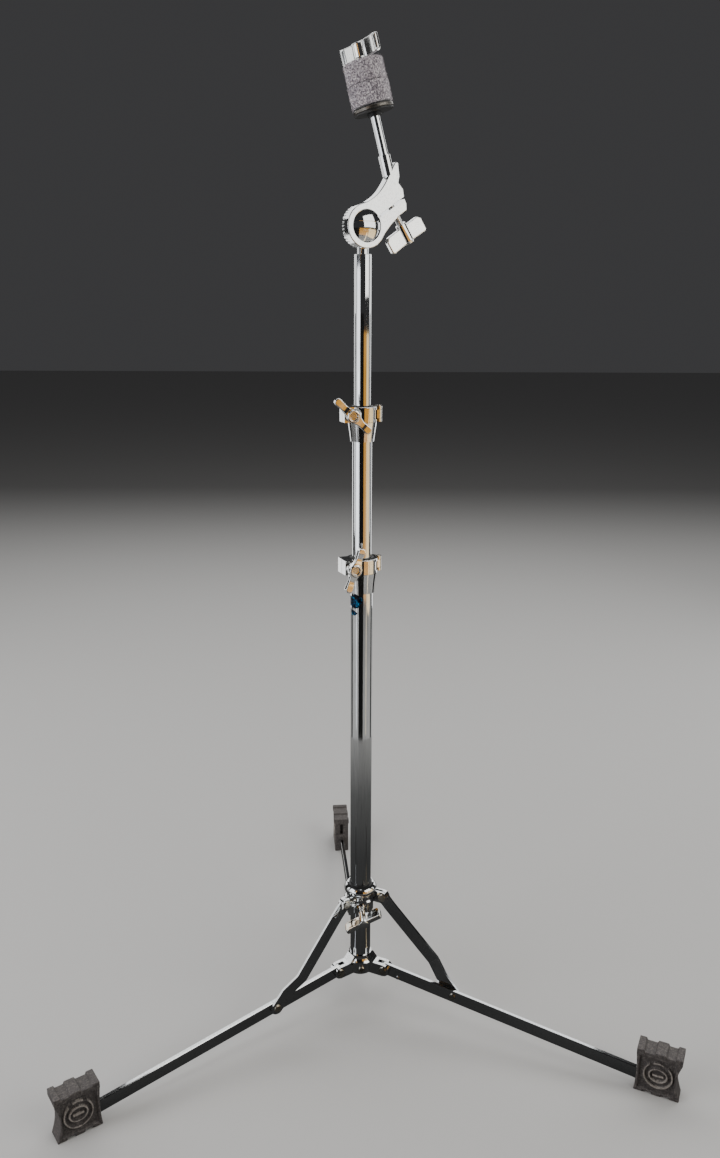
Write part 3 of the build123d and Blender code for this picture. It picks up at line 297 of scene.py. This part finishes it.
# Chloroprene rubber, moulded: dead matt, with dust caught in its pebble that greys it.  The
# raised marks are painted paler on their tops: a painted highlight that stands for the light they catch.
foot_rubber = moulded("matt moulded rubber", ("#34302F", "#514C4A", "#736D69"), 0.0018, (0.5, 0.75), 0.0009,
                      0.00005)
highlit_mark_rubber = moulded("rubber painted pale for a highlight", ("#6F6964", "#928B84", "#ADA69E"), 0.0018, (0.5, 0.7), 0.0009,
                        0.00005)
RIB, CAP, RELIEF = 2.2, 7.0, 2.4         # millimetres: rib height, cap depth, hollow under the sole
for side in sides:
    pivot = np.array(joints[f"leg_{side}_fold"]["pos_m"])
    out = np.array([pivot[0], pivot[1], 0.0]) / np.hypot(pivot[0], pivot[1])
    across = np.array([-out[1], out[0], 0.0])
    near, far = extent(f"foot_{side}", (0, 0, 0), out)
    top = extent(f"foot_{side}", (0, 0, 0), (0, 0, 1))[1]
    wide = extent(f"foot_{side}", (0, 0, 0), across)[1]
    long = far - near
    ribs = [(near + long * a, near + long * b) for a, b in ((0.86, 1.0), (0.415, 0.64), (0.0, 0.155))]
    cap_line = [(u, v) for a, b in ribs
                for u, v in ((b + 0.7, top - RIB), (b, top), (a, top), (a - 0.7, top - RIB))][1:-1]
    pads = [near + long * k for k in (0.0, 0.21, 0.40, 0.60, 0.79, 1.0)]
    sole = [(pads[0], 0), (pads[1], 0), (pads[1] + 0.8, RELIEF), (pads[2] - 0.8, RELIEF), (pads[2], 0),
            (pads[3], 0), (pads[3] + 0.8, RELIEF), (pads[4] - 0.8, RELIEF), (pads[4], 0), (pads[5], 0)]
    hollow = [(far - 4.6 * sin(pi * k), k * (top - CAP)) for k in np.linspace(0.08, 0.96, 9)]
    inner_end = [(near + 1.3 * sin(pi * k), k * (top - CAP)) for k in np.linspace(0.96, 0.08, 7)]
    shape = soften([*sole, *hollow, (far, top - CAP), *cap_line, (near, top - CAP), *inner_end], 0.42, 0.4)
    middle = np.array([near + long * 0.5, top * 0.47])

    def from_mark(u, v):
        """Distance to the nearest raised mark.  With du and dv from the side's middle, two
        ovals lie where hypot(du / a, dv / b) = 1, the outer one broken by two gaps at the
        top, and a short level bar lies inside them."""
        du, dv = u - middle[0], v - middle[1]
        outer = np.abs(np.hypot(du / 13.6, dv / 14.2) - 1) * 13.9
        outer += 9.0 * step(dv, 5.0, 6.0) * (1 - step(np.abs(np.abs(du) - 6.8), 1.0, 2.0))
        inner = np.abs(np.hypot(du / 8.6, dv / 7.4) - 1) * 8.0
        bar = np.maximum(np.abs(dv) - 0.3, np.abs(du) - 4.6)
        return np.minimum(np.minimum(outer, inner), bar)

    def boot(u, v, side_sign):
        """Half the thickness: the cap and both ends stand proud of the drawn-in side, and so
        do the marks on it."""
        cap = step(v, top - CAP - 0.6, top - CAP + 0.3)
        ends = np.maximum(step(u, far - 6.4, far - 5.2), 1 - step(u, near + 3.0, near + 4.2))
        foot_pad = 1 - step(v, 3.6, 5.0)
        field = np.maximum(ends, foot_pad)
        mark = from_mark(u, v)
        raised = 1 - step(mark, 0.45, 1.15)
        plain = wide - 3.2 + 2.4 * field + (2.4 * raised - 0.5 * step(mark, 0.9, 1.2)) * (1 - field)
        rib_here = sum(step(u, a - 0.5, a + 0.3) * (1 - step(u, b - 0.3, b + 0.5)) for a, b in ribs)
        return plain * (1 - cap) + cap * (wide - 0.5 + 0.5 * np.clip(rib_here, 0, 1))

    grid = slab(shape, middle, boot, 0.9, 58, 16)
    # The inner end has a narrow slot above the leg.
    slot_here = (np.abs(grid[..., 2]) < 1.9) & (grid[..., 0] < near + 3) & (grid[..., 1] > top * 0.5)
    slot_here &= grid[..., 1] < top - CAP - 1
    grid[..., 0] += np.where(slot_here, 7.0, 0.0)
    foot = skin(f"foot_boot_{side}", grid, ((0, 0, 0), (out, (0, 0, 1), across)), f"leg_{side}", foot_rubber)
    foot.data.materials.append(highlit_mark_rubber)
    # Painted highlight: the tops of the raised marks on both sides take the paler rubber.
    highlight_crest = (from_mark(grid[..., 0], grid[..., 1]) < 0.75) & (np.abs(grid[..., 2]) > wide - 1.6)
    highlight_crest &= (np.abs(grid[..., 0] - middle[0]) < 14.6) & (np.abs(grid[..., 1] - middle[1]) < 15.2)
    foot.data.polygons.foreach_set("material_index", highlight_crest[:-1].ravel().astype(np.int32))
    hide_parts(f"foot_{side}")

# ---- wing nuts and wing screws -----------------------------------------------------------------
# Zinc castings, polished bright and chromed.  The clamps' nuts have two waisted wings and a
# sunk middle where the bolt's end shows; the collar and the tilter have T-shaped screws.

wing_chrome = plated("bright chrome on small casting", ("#B4B5B4", "#CFD0CE", "#DADAD8"), (0.06, 0.13),
                     (1, 1, 1), 0.001, 0.0000005, 0.006, 0.000012)


def turned(profile, count=72):
    """Rows of a surface of revolution: each (radius, height) swept round the third axis."""
    angle = np.linspace(0, 2 * pi, count, endpoint=False)
    radius, height = np.array(profile, float).T
    return np.stack([radius[:, None] * np.cos(angle), radius[:, None] * np.sin(angle),
                     np.repeat(height[:, None], count, axis=1)], -1)


def round_profile(points, size=0.5, count=5):
    """A profile with each inner corner replaced by a short curve: a quadratic blend between
    the points a size away along both of its runs."""
    made = [points[0]]
    for before, here, after in zip(points, points[1:], points[2:]):
        b, h, a = (np.array(p, float) for p in (before, here, after))
        start = h + (b - h) * min(0.45, size / max(np.hypot(*(b - h)), 1e-6))
        end = h + (a - h) * min(0.45, size / max(np.hypot(*(a - h)), 1e-6))
        t = np.linspace(0, 1, count)[:, None]
        made += [tuple(p) for p in (1 - t) ** 2 * start + 2 * t * (1 - t) * h + t ** 2 * end]
    return [*made, points[-1]]


def square_to(axis, hint):
    """Three unit axes: the part of hint square to axis, its partner, and axis."""
    third = np.array(axis, float) / np.linalg.norm(axis)
    first = np.array(hint, float) - np.dot(hint, third) * third
    first /= np.linalg.norm(first)
    return np.array([first, np.cross(third, first), third])


def widest(node, origin, axis):
    """The direction square to axis in which a node's points reach furthest from it."""
    mesh = frame["nodes"][node].data
    points = np.zeros(len(mesh.vertices) * 3)
    mesh.vertices.foreach_get("co", points)
    away = points.reshape(-1, 3) - np.array(origin)
    away -= (away @ np.array(axis))[:, None] * np.array(axis)
    far_points = away[np.linalg.norm(away, axis=1) > 0.985 * np.linalg.norm(away, axis=1).max()]
    far_points *= np.sign(far_points @ far_points[0])[:, None]
    return far_points.mean(axis=0)


for level in ("lower", "upper"):
    turn = joints[f"{level}_nut_turn"]
    origin, axis = np.array(turn["pos_m"]), np.array(turn["axis"])
    axes = square_to(axis, widest(f"{level}_wing_nut", origin, axis))
    tip = extent(f"{level}_wing_nut", origin, axes[0])[1]
    low, high = extent(f"{level}_wing_nut", origin, axis)
    bar_low, bar_high = high - 7.1, high - 0.7
    half_bar = (bar_high - bar_low) / 2
    one_wing = [(0, 6.3), (3.2, 5.6), (6.4, 4.0), (11.0, 3.1), (15.5, 3.3), (19.6, 3.7), (21.7, 2.8),
                (tip, 0.9)]
    upper_line = [(-u, v) for u, v in one_wing[::-1]] + one_wing[1:]
    shape = soften([*[(u, -v) for u, v in upper_line], *upper_line[::-1]], 0.4, 0.5)

    def bow(u, v, side_sign):
        """Half the thickness: the wings thin towards their waists, and on the front a round
        boss stands proud with a sunk middle."""
        r = np.hypot(u, v)
        wings = half_bar - 0.7 * np.exp(-((np.abs(u) - 11.5) / 4.0) ** 2)
        if side_sign < 0:
            return wings
        boss = 0.7 * (1 - step(r, 5.0, 5.9))
        sunk = 2.4 * (1 - step(r, 3.7, 4.3))
        return wings + boss - sunk

    nut = skin(f"{level}_nut_wings", slab(shape, np.zeros(2), bow, 0.9, 40, 4),
               (origin + axis * (bar_low + half_bar) * MM, axes), f"{level}_nut", wing_chrome)
    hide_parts(f"{level}_wing_nut")
    collar_line = round_profile([(3.05, low), (5.6, low), (5.6, low + 1.6), (4.9, low + 2.2),
                                 (4.9, bar_low + 0.6), (3.05, bar_low + 0.6)], 0.5)
    skin(f"{level}_nut_neck", turned(collar_line), (origin, axes), f"{level}_nut", wing_chrome,
         closed_rows=True)

for owner in ("collar", "tilter"):
    turn = joints[f"{owner}_screw_turn"]
    origin, axis = np.array(turn["pos_m"]), np.array(turn["axis"])
    node_name = f"{owner}_wing_screw"
    axes = square_to(axis, widest(node_name, origin, axis))
    low, high = extent(node_name, origin, axis)
    half_bar = extent(node_name, origin, axes[0])[1]
    bar_top = high - 1.0
    bar_low = bar_top - 15.1
    shape = soften([(-half_bar + 3.2, bar_low), (half_bar - 3.2, bar_low), (half_bar, bar_low + 3.2),
                    (half_bar, bar_top - 1.4), (half_bar - 1.4, bar_top), (5.2, bar_top - 0.6),
                    (-5.2, bar_top - 0.6), (-half_bar + 1.4, bar_top), (-half_bar, bar_top - 1.4),
                    (-half_bar, bar_low + 3.2)], 0.4, 0.55)

    def paddle(u, v, side_sign):
        """Half the thickness: each wing's face is dished very slightly inside its border."""
        inside = step(np.abs(u), 5.4, 9.0) * (1 - step(np.abs(u), half_bar - 5.2, half_bar - 1.6))
        inside *= step(v, bar_low + 1.2, bar_low + 5.0) * (1 - step(v, bar_top - 5.0, bar_top - 1.2))
        return 2.5 - 0.1 * inside

    centre = np.array([0.0, (bar_low + bar_top) / 2])
    grid = slab(shape, centre, paddle, 0.9, 44, 4)
    screw = skin(f"{owner}_screw_bar", grid, (origin, (axes[0], axes[2], axes[1])), f"{owner}_screw",
                 wing_chrome)
    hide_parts(node_name)
    pitch = 1.0
    turns = int((bar_low - 3.2 - low) / pitch)
    thread = [(2.75 + 0.4 * (k % 2), low + 0.4 + k * pitch / 2) for k in range(2 * turns)]
    barrel = round_profile([(0.0, low), (2.6, low), *thread[1:], (3.1, bar_low - 3.0), (4.7, bar_low - 3.0),
                            (4.9, bar_low - 2.4), (4.9, bar_top - 2.0), (4.5, high - 0.5), (0.0, high)],
                           0.35, 3)
    skin(f"{owner}_screw_barrel", turned(barrel), (origin, axes), f"{owner}_screw", wing_chrome)

# ---- felts -----------------------------------------------------------------------------------
# Two thick rings cut from pressed grey wool felt: dark and light wool mixed, with soft worn
# edges and loose fibres round their sides.  The cymbal is clamped between them.


def lattice(points, cell, seed):
    """Smooth noise from -1 to 1: random values on a cubic lattice, blended across each cell."""
    scaled = points / cell
    base = np.floor(scaled).astype(np.int64)
    part = scaled - base
    part = part * part * (3 - 2 * part)
    total = np.zeros(points.shape[:-1])
    for corner in np.ndindex(2, 2, 2):
        key = base + np.array(corner)
        mixed = (key[..., 0] * 73856093) ^ (key[..., 1] * 19349663) ^ (key[..., 2] * 83492791) ^ seed
        value = ((mixed * 2654435761) % 4294967296) / 2147483648 - 1
        total += value * np.prod(np.where(np.array(corner) == 1, part, 1 - part), axis=-1)
    return total


def wool_felt():
    """Pressed wool: tufts about 1 mm across in four greys, a finer fleck over them, and the
    sheen of fibre ends."""
    material, tree, output, place = start_material("pressed wool felt")
    tufts = add_node(tree, "ShaderNodeTexNoise", {"Vector": place},
                     {"Scale": 820.0, "Detail": 4.0, "Roughness": 0.72, "Distortion": 0.6})
    fleck = add_node(tree, "ShaderNodeTexVoronoi", {"Vector": place}, {"Scale": 1500.0, "Randomness": 1.0})
    patches = add_node(tree, "ShaderNodeTexNoise", {"Vector": place}, {"Scale": 90.0, "Detail": 2.0})
    greys = ramp_node(tree, tufts.outputs["Fac"],
                      [(0.36, "#2E2A31"), (0.45, "#767078"), (0.53, "#B9B2B8"), (0.61, "#F4F0F0")])
    lighter = ramp_node(tree, patches.outputs["Fac"], [(0.35, "#9E98A2"), (0.65, "#D8D3D4")])
    mixed = add_node(tree, "ShaderNodeMix", data_type="RGBA", blend_type="OVERLAY")
    mixed.inputs["Factor"].default_value = 0.35
    tree.links.new(greys, mixed.inputs["A"])
    tree.links.new(lighter, mixed.inputs["B"])
    height = add_node(tree, "ShaderNodeMath", {0: tufts.outputs["Fac"], 1: fleck.outputs["Distance"]},
                      operation="ADD")
    bump = add_node(tree, "ShaderNodeBump", {"Height": height.outputs["Value"]},
                    {"Strength": 1.0, "Distance": 0.00025})
    cloth = add_node(tree, "ShaderNodeBsdfPrincipled",
                     {"Base Color": mixed.outputs["Result"], "Normal": bump.outputs["Normal"]},
                     {"Roughness": 0.95, "Sheen Weight": 0.35, "Sheen Roughness": 0.5, "IOR": 1.45})
    tree.links.new(cloth.outputs["BSDF"], output.inputs["Surface"])
    return material


felt_wool = wool_felt()
rod_turn = joints["top_nut_turn"]
rod_origin, rod_axis = np.array(rod_turn["pos_m"]), np.array(rod_turn["axis"])
rod_axes = square_to(rod_axis, (1, 0, 0))
HOLE_SHARE = 0.35                        # of the sleeve's flange: the hole just clears its barrel
soft, hair_r = 1.5, 0.055                # millimetres: radius of the worn edge, and of a fibre
count = 2600                             # fibres on each ring
for number, level in enumerate(("lower", "upper")):
    low, high = extent(f"{level}_felt", rod_origin, rod_axis)
    radius = extent(f"{level}_felt", rod_origin, rod_axes[0])[1]
    bore = extent("rod_sleeve", rod_origin, rod_axes[0])[1] * HOLE_SHARE
    quarter = np.linspace(0, pi / 2, 7)
    upper_edge = [(radius - soft + soft * sin(a), high - soft + soft * cos(a)) for a in quarter]
    lower_edge = [(radius - soft + soft * cos(a), low + soft - soft * sin(a)) for a in quarter]
    side_line = [(radius, v) for v in np.linspace(high - soft, low + soft, 34)[1:-1]]
    top_line = [(r, high) for r in np.linspace(bore, radius - soft, 26)[:-1]]
    base_line = [(r, low) for r in np.linspace(radius - soft, bore, 26)[1:]]
    grid = turned([*top_line, *upper_edge, *side_line, *lower_edge, *base_line], 240)
    away = grid.copy()
    away[..., 2] -= (low + high) / 2
    away /= np.linalg.norm(away, axis=-1, keepdims=True)
    rough = 0.22 * lattice(grid, 1.1, 11 + number) + 0.16 * lattice(grid, 0.55, 23 + number)
    rough += 0.35 * lattice(grid, 7.0, 37 + number)
    outer = step(np.hypot(grid[..., 0], grid[..., 1]), bore + 1.0, bore + 3.0)
    grid += away * ((rough - 0.35) * outer)[..., None]
    felt = skin(f"{level}_felt_ring", grid, (rod_origin, rod_axes), "tilter", felt_wool,
                closed_rows=True)
    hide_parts(f"{level}_felt")

    # Loose fibres: each is a thin three-sided hair in four stations that bends as it leaves
    # the side or the rounded edge of the felt.
    rng = np.random.default_rng(70 + number)
    angle = rng.uniform(0, 2 * pi, count)
    height = rng.uniform(low + 0.2, high - 0.2, count)
    root = np.stack([(radius - 0.55) * np.cos(angle), (radius - 0.55) * np.sin(angle), height], 1)
    outward = np.stack([np.cos(angle), np.sin(angle), np.zeros(count)], 1)
    drift = rng.normal(0, 1, (count, 3))
    drift -= (drift * outward).sum(1, keepdims=True) * outward
    drift /= np.linalg.norm(drift, axis=1, keepdims=True)
    length = rng.uniform(0.9, 2.6, count)[:, None]
    share = np.array([0.0, 0.35, 0.7, 1.0])
    rise = np.array([0.0, 0.32, 0.46, 0.5])
    line = (root[:, None] + outward[:, None] * (rise[None, :, None] * length[:, None] * 0.9)
            + drift[:, None] * (share[None, :, None] ** 1.5 * length[:, None] * 0.9))
    beside = np.cross(outward, drift)
    thick = hair_r * (1 - 0.6 * share)
    spin = np.linspace(0, 2 * pi, 3, endpoint=False)
    around = (outward[:, None, None] * np.cos(spin)[None, None, :, None]
              + beside[:, None, None] * np.sin(spin)[None, None, :, None])
    hair = line[:, :, None] + around * thick[None, :, None, None]
    points = hair.reshape(-1, 3) @ rod_axes * MM + rod_origin
    first = (np.arange(count) * 12)[:, None, None]
    ring = np.arange(3)[None, :, None] * 3
    corner = np.arange(3)[None, None, :]
    after = (np.arange(3)[None, None, :] + 1) % 3
    quads = np.stack([first + ring + corner, first + ring + after, first + ring + 3 + after,
                      first + ring + 3 + corner], -1).reshape(-1, 4)
    caps = np.concatenate([first[:, :, 0] + [[2, 1, 0]], first[:, :, 0] + [[9, 10, 11]]])
    mesh = bpy.data.meshes.new(f"{level}_felt_fibres")
    mesh.from_pydata(points.tolist(), [], quads.tolist() + caps.tolist())
    mesh.materials.append(felt_wool)
    fibres = bpy.data.objects.new(f"{level}_felt_fibres", mesh)
    bpy.context.scene.collection.objects.link(fibres)
    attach(fibres, "tilter")

# ---- seat washer ----------------------------------------------------------------------------
# A thick pressed steel washer under the felts, with rolled edges.  Its black oxide finish has
# rubbed to a dull dark grey.

black_oxide = plated("rubbed black oxide on steel", ("#3A3836", "#5C5955", "#8A867F"), (0.34, 0.5), (1, 1, 1),
                     0.0008, 0.000003, 0.005, 0.00001)
dress(black_oxide, "seat_washer")

# ---- top wing nut ------------------------------------------------------------------------------
# Chromed casting on the rod's thread: a flanged boss with two upright wings, each ending in a
# round bead that gives the fingers a hold.

top_axes = square_to(rod_axis, widest("top_wing_nut", rod_origin, rod_axis))
low, high = extent("top_wing_nut", rod_origin, rod_axis)
reach = extent("top_wing_nut", rod_origin, top_axes[0])[1]
BEAD = 2.4
shape = soften([(-reach, low + 3.0), (-reach + 3, low + 1.6), (-6, low + 0.9), (6, low + 0.9),
                (reach - 3, low + 1.6), (reach, low + 3.0), (reach, high - 1.0), (reach - 1.2, high),
                (reach - 4.5, high - 0.3), (7, high - 0.9), (-7, high - 0.9), (-reach + 4.5, high - 0.3),
                (-reach + 1.2, high), (-reach, high - 1.0)], 0.4, 0.5)


def wing_plate(u, v, side_sign):
    """Half the thickness: thin plates that swell to a bead at each end and to the boss."""
    bead = np.exp(-((np.abs(u) - (reach - BEAD)) / 1.7) ** 2)
    root_swell = np.exp(-(u / 6.5) ** 2)
    return 1.55 + 0.85 * bead + 1.2 * root_swell


grid = slab(shape, np.array([0.0, (low + high) / 2]), wing_plate, 0.8, 40, 4)
wings = skin("top_nut_wings", grid, (rod_origin, (top_axes[0], top_axes[2], top_axes[1])), "top_nut",
             wing_chrome)
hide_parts("top_wing_nut")
boss = round_profile([(4.1, low), (8.3, low), (8.3, low + 1.6), (6.7, low + 2.4), (6.3, high - 2.2),
                      (5.6, high - 1.3), (4.1, high - 1.3)], 0.6)
skin("top_nut_boss", turned(boss), (rod_origin, top_axes), "top_nut", wing_chrome,
     closed_rows=True)

# ---- sticker remnant --------------------------------------------------------------------------
# What is left of a foil label below the lower clamp: a torn blue scrap that hugs the tube.


def torn_foil():
    """Metallised film: blue lacquer over silver, creased, with the silver showing in spots."""
    material, tree, output, place = start_material("torn blue foil")
    crease = add_node(tree, "ShaderNodeTexNoise", {"Vector": place},
                      {"Scale": 210.0, "Detail": 5.0, "Roughness": 0.6, "Distortion": 0.8})
    colour = ramp_node(tree, crease.outputs["Fac"],
                       [(0.40, "#03050A"), (0.52, "#081C30"), (0.60, "#14567F"), (0.68, "#2FC6F0")])
    bump = add_node(tree, "ShaderNodeBump", {"Height": crease.outputs["Fac"]},
                    {"Strength": 1.0, "Distance": 0.0002})
    film = add_node(tree, "ShaderNodeBsdfPrincipled", {"Base Color": colour, "Normal": bump.outputs["Normal"]},
                    {"Metallic": 0.85, "Roughness": 0.3})
    tree.links.new(film.outputs["BSDF"], output.inputs["Surface"])
    return material


tube_r = extent("base_tube", (0, 0, 0), (1, 0, 0))[1]
clamp_low = extent("lower_clamp", (0, 0, 0), (0, 0, 1))[0]
foil = torn_foil()
for name, azimuth, drop, wide_by, tall_by, seed in (("foil_scrap", 232.0, 8.6, 8.2, 7.2, 5),
                                                     ("foil_shred", 224.0, 20.0, 4.2, 2.4, 9)):
    angle = np.linspace(0, 2 * pi, 90, endpoint=False)
    ragged = 1 + 0.28 * lattice(np.stack([3 * np.cos(angle), 3 * np.sin(angle), np.zeros(90)], 1), 1.3, seed)
    share = np.r_[np.linspace(0, 1, 12), np.linspace(1, 0, 12)][:, None]
    lift = np.r_[np.full(12, 0.13), np.full(12, 0.03)][:, None]
    along_arc = share * ragged * wide_by * np.cos(angle)
    upright = share * ragged * tall_by * np.sin(angle)
    turn = radians(azimuth) + along_arc / tube_r
    radius = np.broadcast_to(tube_r + lift, turn.shape)
    grid = np.stack([radius * np.cos(turn), radius * np.sin(turn), clamp_low - drop + upright], -1)
    skin(name, grid, ((0, 0, 0), np.eye(3)), "base", foil)

# ---- studio ---------------------------------------------------------------------------------
# A plain pale floor and a dim room.  White softboxes stand round the stand and hang behind and
# above it.  Panels and strips that light only the metal draw its bright and amber streaks, and
# a mat and cards of black cloth and card, seen only in the metal, draw its dark ones.


def softbox(name, bearing, distance, middle, aim, width, tall, radiance, colour):
    """A soft rectangular light.  It hangs at the height of its middle and faces the stand's
    axis at the height of aim.  bearing is in degrees from the camera's side towards the right,
    and the light's power is its radiance times pi times its area."""
    data = bpy.data.lights.new(name, "AREA")
    data.shape = "RECTANGLE"
    data.size, data.size_y = width, tall
    data.energy = radiance * pi * width * tall
    data.color = linear(colour)[:3]
    lamp = bpy.data.objects.new(name, data)
    lamp.visible_camera = False
    place = np.array([sin(radians(bearing)) * distance, -cos(radians(bearing)) * distance, middle])
    away = place - (0, 0, aim)
    axes = square_to(away, np.cross((0, 0, 1), away))
    lamp.matrix_world = Matrix([[*axes[:, k], place[k]] for k in range(3)] + [[0, 0, 0, 1]])
    bpy.context.scene.collection.objects.link(lamp)
    return lamp


def black_flag(name, points, faces, finish):
    """A piece of black cloth or card that is seen only in the chrome: it gives bright metal
    its dark bands, as black cards beside the lens do."""
    mesh = bpy.data.meshes.new(name)
    mesh.from_pydata(points.tolist(), [], faces)
    mesh.materials.append(finish)
    flag = bpy.data.objects.new(name, mesh)
    bpy.context.scene.collection.objects.link(flag)
    for ray in ("camera", "diffuse", "shadow", "transmission", "volume_scatter"):
        setattr(flag, f"visible_{ray}", False)


floor_mesh = bpy.data.meshes.new("floor")
half_floor = 12.0
floor_mesh.from_pydata([(x * half_floor, y * half_floor, 0) for x, y in ((-1, -1), (1, -1), (1, 1), (-1, 1))],
                       [], [(0, 1, 2, 3)])
floor_paint = bpy.data.materials.new("pale studio floor")
floor_paint.use_nodes = True
floor_paint.node_tree.nodes["Principled BSDF"].inputs["Base Color"].default_value = linear("#C4C3C1")
floor_paint.node_tree.nodes["Principled BSDF"].inputs["Roughness"].default_value = 0.9
floor_mesh.materials.append(floor_paint)
floor = bpy.data.objects.new("floor", floor_mesh)
bpy.context.scene.collection.objects.link(floor)

world = bpy.data.worlds.new("studio")
world.use_nodes = True
world.node_tree.nodes["Background"].inputs["Color"].default_value = linear("#6E6E70")
world.node_tree.nodes["Background"].inputs["Strength"].default_value = 0.3
bpy.context.scene.world = world

# Painted shade seen only in the metal: the mat is darkest in its middle and painted paler towards its rim.
cloth_black, tree, output, place = start_material("matt black cloth, painted shade paler at its rim")
from_middle = add_node(tree, "ShaderNodeVectorMath", {0: place}, operation="LENGTH")
rim_fade_shade = ramp_node(tree, from_middle.outputs["Value"],
                   [(0.0, "#404040"), (0.30, "#474747"), (0.48, "#666665"), (0.70, "#A5A4A2")])
cloth_face = add_node(tree, "ShaderNodeBsdfDiffuse", {"Color": rim_fade_shade})
tree.links.new(cloth_face.outputs["BSDF"], output.inputs["Surface"])
card_black, tree, output, place = start_material("matt black card")
card_face = add_node(tree, "ShaderNodeBsdfDiffuse", values={"Color": linear("#262626")})
tree.links.new(card_face.outputs["BSDF"], output.inputs["Surface"])
MAT_R, MAT_LIFT, MAT_SIDES = 0.70, 0.0004, 96
CARD_TOP, CARD_SIDES = 0.74, 12
angle = np.linspace(0, 2 * pi, MAT_SIDES, endpoint=False)
disc = np.stack([MAT_R * np.sin(angle), -MAT_R * np.cos(angle), np.full(MAT_SIDES, MAT_LIFT)], -1)
black_flag("mat", disc, [list(range(MAT_SIDES))], cloth_black)
for name, start, end in (("card_middle", -30, 17), ("card_left", -128, -104), ("card_right", 108, 130)):
    angle = np.radians(np.linspace(start, end, CARD_SIDES + 1))
    foot_line = np.stack([MAT_R * np.sin(angle), -MAT_R * np.cos(angle), np.zeros(CARD_SIDES + 1)], -1)
    black_flag(name, np.concatenate([foot_line, foot_line + (0, 0, CARD_TOP)]),
               [[k, k + 1, k + CARD_SIDES + 2, k + CARD_SIDES + 1] for k in range(CARD_SIDES)], card_black)

softbox("left low", -58, 1.55, 0.485, 0.485, 1.35, 0.73, 3.0, "#F7F9FF")
softbox("left high", -66, 1.7, 1.475, 1.475, 1.1, 1.05, 3.2, "#FFFFFF")
softbox("left warm", -32, 1.75, 1.35, 1.35, 0.28, 0.9, 1.6, "#FFC070")
softbox("right high", 60, 1.6, 1.44, 1.44, 1.5, 1.32, 3.2, "#FFFDF8")
softbox("left side", -106, 1.7, 0.725, 0.725, 0.9, 1.15, 2.0, "#FFFFFF")
softbox("right side", 116, 1.7, 0.725, 0.725, 0.9, 1.15, 2.0, "#FFFFFF")
softbox("behind", 180, 1.7, 2.1, 0.8, 4.2, 1.5, 2.3, "#FFFFFF")
softbox("above", 45, 0.28, 2.6, 0.6, 1.6, 1.0, 2.6, "#FFFFFF")
metal_only = [softbox("right warm", 36, 1.3, 0.39, 0.39, 0.95, 0.62, 1.0, "#FFB440"),
              softbox("right cream", 74, 1.2, 0.39, 0.39, 0.75, 0.62, 1.9, "#FFE0A8"),
              softbox("left rear", -143, 1.5, 0.55, 0.55, 0.6, 1.1, 2.2, "#FFFFFF"),
              softbox("right rear", 143, 1.5, 0.55, 0.55, 0.6, 1.1, 2.2, "#FFFFFF"),
              softbox("left strip", -52, 0.68, 0.34, 0.34, 0.07, 0.62, 1.6, "#F4F7FF"),
              softbox("right strip", 50, 0.68, 0.30, 0.30, 0.05, 0.56, 1.8, "#FFE8C0")]
metal = bpy.data.collections.new("bright metal")
for thing in bpy.context.scene.objects:
    if thing.type == "MESH" and any("chrome" in m.name or "plate" in m.name for m in thing.data.materials):
        metal.objects.link(thing)
for lamp in metal_only:
    lamp.light_linking.receiver_collection = metal

camera_data = bpy.data.cameras.new("camera")
camera_data.sensor_width = 36.0
camera_data.lens = 29.84
camera_data.shift_y = 0.0201
camera_data.clip_start = 0.02
camera = bpy.data.objects.new("camera", camera_data)
PITCH, ROLL = radians(90 - 16.79), radians(0.19)
camera.matrix_world = (Matrix.Translation((-0.0016, -0.9155, 0.7414)) @ Matrix.Rotation(PITCH, 4, "X")
                       @ Matrix.Rotation(ROLL, 4, "Z"))
bpy.context.scene.collection.objects.link(camera)
bpy.context.scene.camera = camera
